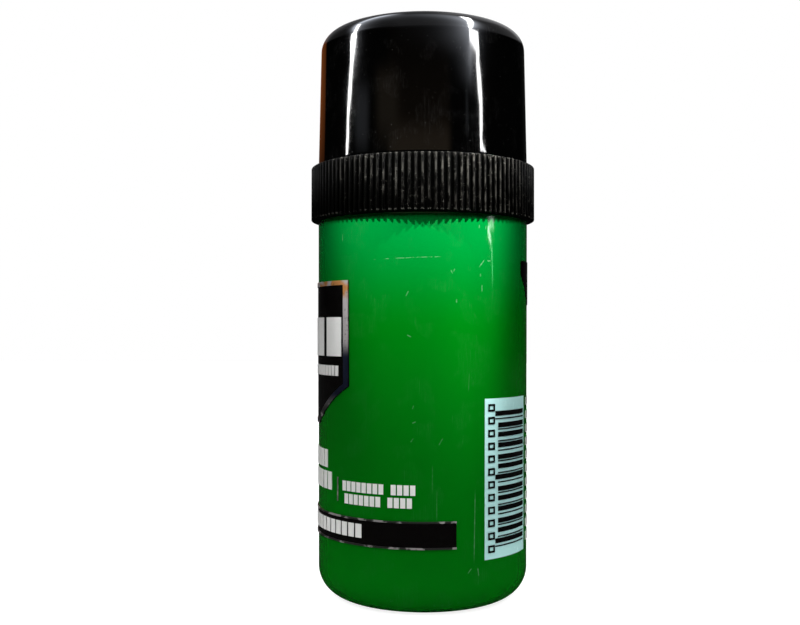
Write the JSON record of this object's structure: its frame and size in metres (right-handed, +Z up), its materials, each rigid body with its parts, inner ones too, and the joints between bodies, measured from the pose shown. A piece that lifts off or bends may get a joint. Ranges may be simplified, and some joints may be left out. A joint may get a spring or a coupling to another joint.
{
  "type": "deodorant stick",
  "caption": "Round twist-up deodorant stick: a plain barrel, a ribbed grip ring that screws the stick up, and a pull-off cap.",
  "frame": {"origin": "centre of the foot, on the surface that the stick stands on", "axes": "+Z up the stick, through the cap; the front print faces -X and the code panel faces +X and -Y"},
  "size_m": [0.046, 0.046, 0.1174],
  "materials": {
    "barrel_green": "glossy moulded",
    "ring_black": "satin moulded, dusty ribs",
    "cap_black": "high gloss",
    "inner_plastic": "natural moulded",
    "stick_white": "waxy",
    "print_black": "printed",
    "print_white": "printed",
    "print_pale": "printed",
    "print_foil": "hot foil"
  },
  "bodies": {
    "barrel": {"outer_barrel": "barrel_green", "lift_screw": "inner_plastic", "front_plaque": "print_black", "plaque_foil": "print_foil", "plaque_blocks": "print_white", "plaque_tag": "print_white", "heading_cells": "print_white", "divider_line": "print_foil", "claim_cells_print": "print_white", "dark_band": "print_black", "band_foil": "print_foil", "band_cells": "print_white", "code_panel": "print_pale", "code_bars": "print_black", "code_rings": "print_black", "rear_plaque": "print_black", "rear_rows": "print_white"},
    "collar": {"grip_ring": "ring_black", "inner_sleeve": "inner_plastic"},
    "carrier": {"stick_carrier": "inner_plastic", "deodorant_stick": "stick_white"},
    "cap": {"cap": "cap_black"}
  },
  "joints": [
    {"name": "collar_turn", "type": "hinge", "parent": "barrel", "child": "collar", "pos_m": [0, 0, 0.076], "axis": [0, 0, 1], "range_deg": [0, 1080]},
    {"name": "stick_lift", "type": "slide", "parent": "collar", "child": "carrier", "axis": [0, 0, 1], "range_m": [0, 0.024]},
    {"name": "cap_lift", "type": "slide", "parent": "collar", "child": "cap", "axis": [0, 0, 1], "range_m": [0, 0.06]}
  ],
  "couplings": [
    {"joint": "stick_lift", "follows": "collar_turn", "m_per_rad": 0.0012732}
  ]
}
